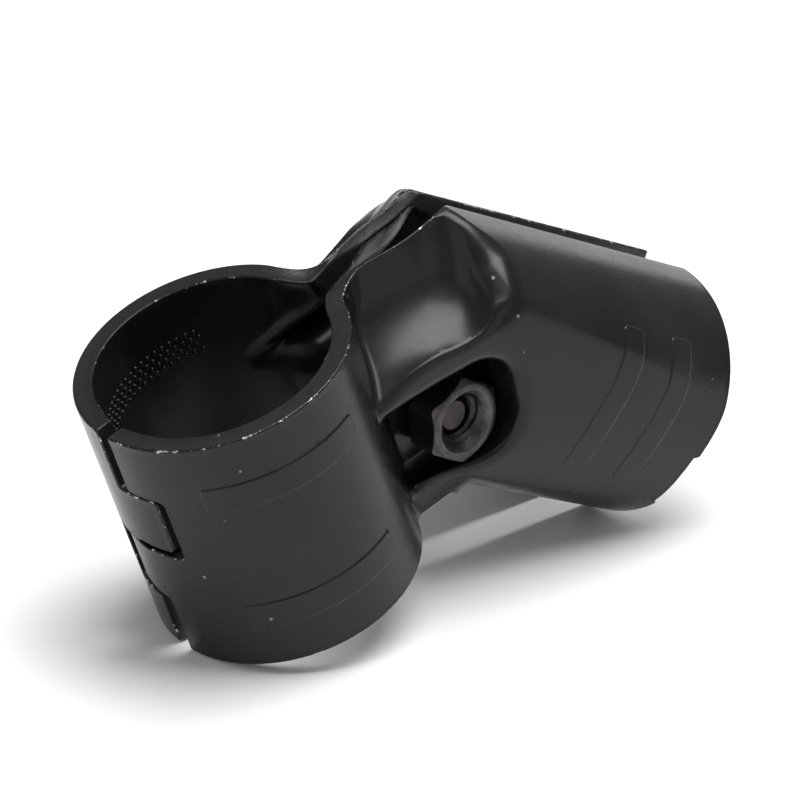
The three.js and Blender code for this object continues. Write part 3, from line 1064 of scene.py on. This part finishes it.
def joined(name, meshes, marks=None):
    """One mesh made of several."""
    points, faces, start = [], [], 0
    for mesh in meshes:
        points.append(points_of(mesh))
        faces += [[start + v for v in p.vertices] for p in mesh.polygons]
        start += len(mesh.vertices)
    return mesh_object(name, np.vstack(points), faces, None, marks)


DOT_SPACING = 1.08
DOT_ROWS = 4
DOT_COLUMNS = 18


def make_dots(name, nut_side, body):
    """The dots inside one half, four rows behind each grip pad."""
    scene = bpy.context.scene
    sizes = scene.joint_sizes
    tree = dots_tree()
    bore = sizes.tube_radius
    meshes = []
    step = DOT_SPACING / bore
    for middle, _ in PAD_WINDOWS_RING:
        values = {
            "Rows": DOT_ROWS, "Columns": DOT_COLUMNS, "Radius": bore + 0.06, "Angle Step": step,
            "First Angle": math.radians(PAD_MIDDLE_RING) - step * (DOT_COLUMNS - 0.5) / 2,
            "First Height": middle - 1.38, "Height Step": 0.92,
            "Dot Radius": 0.36, "Dot Height": 0.34, "Seed": 5,
        }
        meshes.append(grown(tree, values, coat_material()))
    start = arm_start(sizes)
    for middle, _ in PAD_WINDOWS_ARM:
        values = {
            "Rows": DOT_ROWS, "Columns": DOT_COLUMNS, "Radius": bore + 0.06, "Angle Step": step,
            "First Angle": math.radians(PAD_MIDDLE_ARM) - step * (DOT_COLUMNS - 0.5) / 2,
            "First Height": middle - 1.26, "Height Step": 0.84,
            "Dot Radius": 0.34, "Dot Height": 0.32, "Seed": 9,
        }
        mesh = grown(tree, values, coat_material())
        mapped(mesh, lambda p: np.column_stack([
            start + (p[:, 0] + p[:, 2]) * HALF_ROOT,
            p[:, 1],
            (p[:, 0] - p[:, 2]) * HALF_ROOT,
        ]))
        flip_faces(mesh)
        meshes.append(mesh)
    for mesh in meshes:
        if nut_side:
            mapped(mesh, lambda p: swing_open(p * (1, -1, 1), sizes, 1))
            flip_faces(mesh)
        mapped(mesh, lambda p: to_world(p, sizes))
    piece = joined(name, meshes)
    hand_over(piece, body, None, coat_material())
    return piece


# ---- bolt and nut ------------------------------------------------------------
# Turned shapes are made around their own Z and then laid along the joint's Y.

def lay_on_bolt_axis(points, sizes, bolt):
    x = points[:, 1] + bolt.x
    y = points[:, 2]
    z = points[:, 0] + bolt.z
    return to_world(np.column_stack([x, y, z]), sizes)


def lofted(rings, closed_start=True, closed_end=True):
    """Quads between rings of equal length, with a fan over each closed end."""
    count = len(rings[0])
    points = [p for ring in rings for p in ring]
    faces = []
    for i in range(len(rings) - 1):
        for j in range(count):
            k = (j + 1) % count
            a, b = i * count, (i + 1) * count
            faces.append([a + j, a + k, b + k, b + j])
    if closed_start:
        middle = np.mean(rings[0], axis=0)
        points.append(middle)
        for j in range(count):
            faces.append([(j + 1) % count, j, len(points) - 1])
    if closed_end:
        middle = np.mean(rings[-1], axis=0)
        points.append(middle)
        last = (len(rings) - 1) * count
        for j in range(count):
            faces.append([last + j, last + (j + 1) % count, len(points) - 1])
    return np.array(points), faces


def ring_at(radii, angles, height):
    radii = np.broadcast_to(radii, angles.shape)
    heights = np.broadcast_to(height, angles.shape)
    return np.column_stack([radii * np.cos(angles), radii * np.sin(angles), heights])


def hexagon_radius(angles, flats, turn, corner_round=0.0):
    folded = np.mod(angles - turn + math.pi / 6, math.pi / 3) - math.pi / 6
    sharp = flats / 2 / np.cos(math.pi / 6 - np.abs(folded))
    if corner_round <= 0:
        return sharp
    limit = flats / 2 / math.cos(math.pi / 6) - corner_round
    soft = corner_round * 0.6
    gap = sharp - limit
    return np.where(gap > -soft, limit - soft + np.sqrt(np.maximum(gap + soft, 0) * soft), sharp)


def make_bolt():
    """The socket head bolt without its thread, and the thread."""
    scene = bpy.context.scene
    sizes, bolt = scene.joint_sizes, scene.bolt_sizes
    count = bolt.knurls * 6
    angles = np.arange(count) * 2 * math.pi / count
    end = bolt.seat - bolt.length
    top = bolt.seat + bolt.head_height
    root = bolt.thread_root
    groove = 0.5 - 0.5 * np.cos(angles * bolt.knurls)
    knurl = bolt.head_radius - 0.02 - 0.16 * groove ** 1.5
    rings = [
        ring_at(root - 0.75, angles, end + 0.02),
        ring_at(root - 0.6, angles, end),
        ring_at(root - 0.1, angles, end + 0.35),
        ring_at(root, angles, end + 0.6),
    ]
    for height in np.linspace(end + 1.2, bolt.seat - 1.3, 14):
        rings.append(ring_at(root, angles, height))
    rings += [
        ring_at(root, angles, bolt.seat - 1.1),
        ring_at(bolt.thread_radius, angles, bolt.seat - 0.75),
        ring_at(bolt.thread_radius, angles, bolt.seat - 0.3),
        ring_at(bolt.thread_radius + 0.18, angles, bolt.seat - 0.05),
        ring_at(bolt.thread_radius + 0.4, angles, bolt.seat),
        ring_at(bolt.head_radius - 0.55, angles, bolt.seat),
        ring_at(bolt.head_radius - 0.28, angles, bolt.seat + 0.08),
        ring_at(bolt.head_radius - 0.18, angles, bolt.seat + 0.3),
        ring_at(bolt.head_radius - 0.16, angles, bolt.seat + 0.55),
        ring_at(knurl, angles, bolt.seat + 0.75),
    ]
    for height in np.linspace(bolt.seat + 1.1, top - 1.2, 8):
        rings.append(ring_at(knurl, angles, height))
    rings += [
        ring_at(knurl, angles, top - 0.9),
        ring_at(bolt.head_radius - 0.17, angles, top - 0.72),
        ring_at(bolt.head_radius - 0.17, angles, top - 0.45),
        ring_at(bolt.head_radius - 0.26, angles, top - 0.22),
        ring_at(bolt.head_radius - 0.5, angles, top - 0.06),
        ring_at(bolt.head_radius - 0.8, angles, top),
        ring_at(3.35, angles, top),
    ]
    socket = hexagon_radius(angles, bolt.socket_flats, 0.0)
    rings += [
        ring_at(np.maximum(socket, 2.85) + 0.06, angles, top - 0.02),
        ring_at(np.maximum(socket, 2.7), angles, top - 0.25),
        ring_at(socket, angles, top - 0.45),
        ring_at(socket, angles, top - bolt.socket_depth + 0.5),
        ring_at(socket - 0.05, angles, top - bolt.socket_depth + 0.45),
        ring_at(socket * 0.5, angles, top - bolt.socket_depth + 0.15),
        ring_at(socket * 0.05, angles, top - bolt.socket_depth),
    ]
    points, faces = lofted(rings)
    radius = np.hypot(points[:, 0], points[:, 1])
    crest = ease(bolt.head_radius - 0.1, bolt.head_radius - 0.02, radius)
    rim = np.exp(-((radius - bolt.head_radius + 0.5) ** 2) / 0.05)
    crest = np.maximum(crest, rim * (points[:, 2] > top - 0.4))
    world = lay_on_bolt_axis(points, sizes, bolt)
    piece = mesh_object("clamp_bolt_body", world, faces, None, {"crest": crest})
    shade_by_angle(piece, 38)
    hand_over(piece, "bolt", "clamp_bolt", oxide_material())

    tree = thread_tree()
    turns = (bolt.length - 1.2) / bolt.pitch
    values = {
        "Turns": turns, "Steps": int(turns * 44), "Pitch": bolt.pitch,
        "Start": end - 0.4 * bolt.pitch, "Root": root, "Crest": bolt.thread_radius,
        "Flat": 0.10, "Runout": 0.7,
    }
    mesh = grown(tree, values, oxide_material())
    local = points_of(mesh)
    radius = np.hypot(local[:, 0], local[:, 1])
    crest = ease(bolt.thread_radius - 0.12, bolt.thread_radius, radius)
    mapped(mesh, lambda p: lay_on_bolt_axis(p, sizes, bolt))
    thread = joined("clamp_bolt_thread", [mesh], {"crest": crest})
    shade_by_angle(thread, 30)
    hand_over(thread, "bolt", None, oxide_material())
    return [piece, thread]


def make_nut():
    """The nut's hexagon with both countersinks, and the thread in its bore."""
    scene = bpy.context.scene
    sizes, bolt = scene.joint_sizes, scene.bolt_sizes
    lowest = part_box("hex_nut")[0]
    origin = joint_frame(sizes)[1]
    outer_face = (lowest.y - origin[1]) / MM
    inner_face = outer_face + bolt.nut_height
    turn = math.radians(90.0 - bolt.nut_turn)
    count = 360
    angles = np.arange(count) * 2 * math.pi / count
    hexagon = hexagon_radius(angles, bolt.nut_flats, turn, 0.18)
    flat = bolt.nut_flats / 2
    start = flat - 0.3
    slant = math.tan(math.radians(30))
    drop = np.maximum(hexagon - start, 0) * slant
    bore = bolt.thread_radius + 0.14

    def face(height, sign, wide, deep):
        """Rings from the bore's countersink out to the hexagon's side."""
        level = height - sign * 0.06
        return [
            ring_at(bore, angles, height - sign * deep),
            ring_at(bore + 0.04, angles, height - sign * (deep - 0.06)),
            ring_at(wide - 0.06, angles, height - sign * 0.1),
            ring_at(wide + 0.05, angles, height),
            ring_at((wide + start) / 2, angles, height),
            ring_at(start - 0.08, angles, height),
            ring_at(start + 0.1, angles, level),
            ring_at(np.minimum(hexagon, start + 0.28), angles,
                    height - sign * np.minimum(drop, 0.28 * slant)),
            ring_at((np.minimum(hexagon, start + 0.28) + hexagon) / 2, angles,
                    height - sign * (np.minimum(drop, 0.28 * slant) + drop) / 2),
            ring_at(hexagon - 0.05, angles, height - sign * (drop - 0.01)),
            ring_at(hexagon, angles, height - sign * (drop + 0.06)),
        ]

    # the outer face has the wide countersink that shows, the inner face a small one
    outside = face(outer_face, -1, 4.02, 0.85)
    inside = face(inner_face, 1, 3.45, 0.4)
    rings = outside + [ring_at(hexagon, angles, (outer_face + inner_face) / 2)] + inside[::-1]
    for height in np.linspace(inner_face - 0.9, outer_face + 1.3, 5):
        rings.append(ring_at(bore, angles, height))
    points, faces = lofted(rings, False, False)
    last = (len(rings) - 1) * count
    for j in range(count):
        k = (j + 1) % count
        faces.append([last + j, last + k, k, j])
    radius = np.hypot(points[:, 0], points[:, 1])
    # the crest mark paints highlights: paler zinc on the hexagon's corners, the countersink's
    # rim and the chamfer's start
    edge = ease(flat + 0.05, flat + 0.7, radius)
    edge = np.maximum(edge, np.exp(-((radius - 4.02) / 0.12) ** 2) * 0.9)
    edge = np.maximum(edge, np.exp(-((radius - start) / 0.15) ** 2) * 0.5)
    world = lay_on_bolt_axis(points, sizes, bolt)
    piece = mesh_object("hex_nut_body", world, faces, None, {"crest": edge})
    shade_by_angle(piece, 24)
    hand_over(piece, "nut", "hex_nut", zinc_material())

    bolt_start = bolt.seat - bolt.length - 0.4 * bolt.pitch
    begin = outer_face + 0.15
    whole = math.floor((begin - bolt_start) / bolt.pitch)
    begin = bolt_start + (whole + 0.5) * bolt.pitch
    turns = (inner_face - 0.1 - begin) / bolt.pitch - 1.0
    values = {
        "Turns": turns, "Steps": int(turns * 48), "Pitch": bolt.pitch, "Start": begin,
        "Root": bore + 0.03, "Crest": bolt.thread_root + 0.12, "Flat": 0.08, "Runout": 0.45,
    }
    mesh = grown(thread_tree(), values, zinc_material())
    local = points_of(mesh)
    radius = np.hypot(local[:, 0], local[:, 1])
    # painted highlights on the nut's thread crests, at half strength
    crest = ease(bolt.thread_root + 0.2, bolt.thread_root + 0.12, radius)
    mapped(mesh, lambda p: lay_on_bolt_axis(p, sizes, bolt))
    flip_faces(mesh)
    thread = joined("hex_nut_thread", [mesh], {"crest": crest * 0.5})
    shade_by_angle(thread, 30)
    hand_over(thread, "nut", None, zinc_material())
    return [piece, thread]


# ---- stage -------------------------------------------------------------------

def floor_material():
    colours = bpy.context.scene.finish_colours
    shader = Shader("pale_floor")
    cloud = shader.noise(6.0, 3.0, 0.5)
    pale = rgba(colours.floor)
    base = shader.blend(shader.band(cloud, 0.3, 0.7), pale, tuple(c * 0.985 for c in pale))
    shader.set("Base Color", base)
    shader.set("Roughness", shader.band(cloud, 0.2, 0.8, 0.55, 0.65))
    return shader.material


def area_light(name, place, power, width, height):
    """A rectangular light that faces the joint."""
    data = bpy.data.lights.new(name, "AREA")
    data.shape = "RECTANGLE"
    data.size = width
    data.size_y = height
    data.energy = power
    light = bpy.data.objects.new(name, data)
    bpy.context.scene.collection.objects.link(light)
    light.location = place
    light.rotation_mode = "QUATERNION"
    light.rotation_quaternion = (Vector(LIT_POINT) - Vector(place)).to_track_quat("-Z", "Y")


# lights: name, place in metres, power in watts, width and height in metres
LIGHTS = (
    ("overhead softbox", (0.1, -0.1, 0.87), 10.5, 0.62, 0.62),
    ("left softbox", (-0.75, -0.15, 0.45), 0.5, 0.5, 0.5),
    ("back strip", (1.0, 0.66, 0.2), 0.65, 0.5, 0.3),
    ("front fill", (-0.1, -1.0, 0.35), 0.7, 0.6, 0.6),
)
LIT_POINT = (0.0, 0.0, 0.025)
WORLD_STRENGTH = 0.35
FLOOR_REACH = 3.0
FLOOR_GAP = 0.0001

# camera: place and target in metres, roll in degrees, focal length in millimetres
CAMERA_PLACE = (-0.25031, -0.28537, 0.21045)
CAMERA_TARGET = (-0.01423, -0.01519, 0.03362)
CAMERA_ROLL = 0.45
LENS = 155.88


def make_stage():
    """The pale floor, the lights and the camera."""
    floor_z = cad_box[0][2] - FLOOR_GAP
    corners = [(-1, -1), (1, -1), (1, 1), (-1, 1)]
    points = np.array([(x * FLOOR_REACH, y * FLOOR_REACH, floor_z) for x, y in corners])
    floor = mesh_object("floor", points, [(0, 1, 2, 3)])
    floor.data.materials.append(floor_material())

    scene = bpy.context.scene
    world = bpy.data.worlds.new("studio")
    scene.world = world
    world.use_nodes = True
    background = world.node_tree.nodes["Background"]
    background.inputs["Color"].default_value = (1.0, 1.0, 1.0, 1.0)
    background.inputs["Strength"].default_value = WORLD_STRENGTH
    for name, place, power, width, height in LIGHTS:
        area_light(name, place, power, width, height)

    data = bpy.data.cameras.new("camera")
    camera = bpy.data.objects.new("camera", data)
    scene.collection.objects.link(camera)
    data.lens = LENS
    data.sensor_width = 36.0
    data.clip_start = 0.01
    data.clip_end = 20.0
    place, target = Vector(CAMERA_PLACE), Vector(CAMERA_TARGET)
    aim = (target - place).to_track_quat("-Z", "Y")
    camera.rotation_mode = "QUATERNION"
    roll = Matrix.Rotation(math.radians(CAMERA_ROLL), 3, "Z").to_quaternion()
    camera.rotation_quaternion = aim @ roll
    camera.location = place
    scene.camera = camera
    scene.view_settings.view_transform = "Standard"
    return floor


# ---- operators and panel -----------------------------------------------------

def finished(operator, pieces):
    """Raises an error when one of an operator's pieces came out empty."""
    for piece in pieces:
        if not piece.data.polygons:
            raise RuntimeError(operator.bl_label + ": " + piece.name + " is empty")
    return {"FINISHED"}


class JOINT_OT_head_side(bpy.types.Operator):
    """Makes the pressed half shell on the bolt head's side"""
    bl_idname = "pipe_joint.head_side"
    bl_label = "Head side shell"

    def execute(self, context):
        piece = make_shell("head_side_pressing", False, "head_side", "head_side_shell")
        return finished(self, [piece])


class JOINT_OT_nut_side(bpy.types.Operator):
    """Makes the pressed half shell on the nut's side"""
    bl_idname = "pipe_joint.nut_side"
    bl_label = "Nut side shell"

    def execute(self, context):
        piece = make_shell("nut_side_pressing", True, "nut_side", "nut_side_shell")
        return finished(self, [piece])


class JOINT_OT_grip_dots(bpy.types.Operator):
    """Makes the rows of small dots that grip the tube inside both halves"""
    bl_idname = "pipe_joint.grip_dots"
    bl_label = "Grip dots"

    def execute(self, context):
        made = [
            make_dots("head_side_grip_dots", False, "head_side"),
            make_dots("nut_side_grip_dots", True, "nut_side"),
        ]
        return finished(self, made)


class JOINT_OT_bolt(bpy.types.Operator):
    """Makes the socket head bolt and its thread"""
    bl_idname = "pipe_joint.bolt"
    bl_label = "Clamp bolt"

    def execute(self, context):
        return finished(self, make_bolt())


class JOINT_OT_nut(bpy.types.Operator):
    """Makes the hexagon nut and its thread"""
    bl_idname = "pipe_joint.nut"
    bl_label = "Hexagon nut"

    def execute(self, context):
        return finished(self, make_nut())


class JOINT_OT_stage(bpy.types.Operator):
    """Makes the floor, the lights and the camera"""
    bl_idname = "pipe_joint.stage"
    bl_label = "Stage"

    def execute(self, context):
        return finished(self, [make_stage()])


class JOINT_PT_panel(bpy.types.Panel):
    bl_label = "Pipe joint"
    bl_idname = "JOINT_PT_panel"
    bl_space_type = "VIEW_3D"
    bl_region_type = "UI"
    bl_category = "Pipe joint"

    def draw(self, context):
        for operator in OPERATORS:
            self.layout.operator(operator.bl_idname)


OPERATORS = (
    JOINT_OT_head_side,
    JOINT_OT_nut_side,
    JOINT_OT_grip_dots,
    JOINT_OT_bolt,
    JOINT_OT_nut,
    JOINT_OT_stage,
)
CLASSES = (JointSizes, BoltSizes, FinishColours) + OPERATORS + (JOINT_PT_panel,)


def register():
    for item in CLASSES:
        bpy.utils.register_class(item)
    bpy.types.Scene.joint_sizes = PointerProperty(type=JointSizes)
    bpy.types.Scene.bolt_sizes = PointerProperty(type=BoltSizes)
    bpy.types.Scene.finish_colours = PointerProperty(type=FinishColours)


def unregister():
    del bpy.types.Scene.finish_colours
    del bpy.types.Scene.bolt_sizes
    del bpy.types.Scene.joint_sizes
    for item in reversed(CLASSES):
        bpy.utils.unregister_class(item)


def main():
    register()
    bpy.ops.pipe_joint.head_side()
    bpy.ops.pipe_joint.nut_side()
    bpy.ops.pipe_joint.grip_dots()
    bpy.ops.pipe_joint.bolt()
    bpy.ops.pipe_joint.nut()
    bpy.ops.pipe_joint.stage()


if __name__ == "__main__":
    main()
